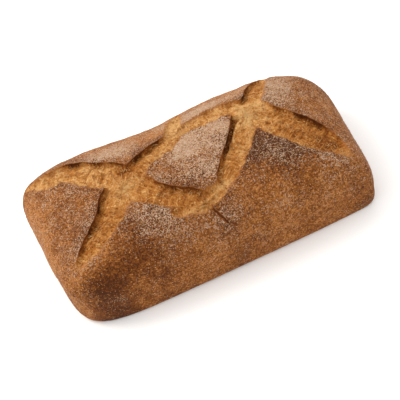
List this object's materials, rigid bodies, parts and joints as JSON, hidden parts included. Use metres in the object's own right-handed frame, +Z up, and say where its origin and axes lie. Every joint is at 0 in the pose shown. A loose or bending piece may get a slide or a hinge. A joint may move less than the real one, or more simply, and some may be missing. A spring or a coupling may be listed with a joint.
{
  "type": "italian bread loaf",
  "caption": "Long crusty loaf with a flat base, a domed crown and rounded ends, scored on top with a V and an arch that cross around a raised diamond.",
  "frame": {"origin": "under the middle of the loaf's box, on the surface that it rests on", "axes": "+X along the loaf, towards its fuller right end as seen from the front, +Y from its front to its back, +Z up"},
  "size_m": [0.3074, 0.1666, 0.0813],
  "materials": {
    "crust": "browned bread crust, dull, lightly floured on its raised panels and torn golden in its scores"
  },
  "bodies": {
    "root": {"loaf": "crust"}
  },
  "joints": []
}
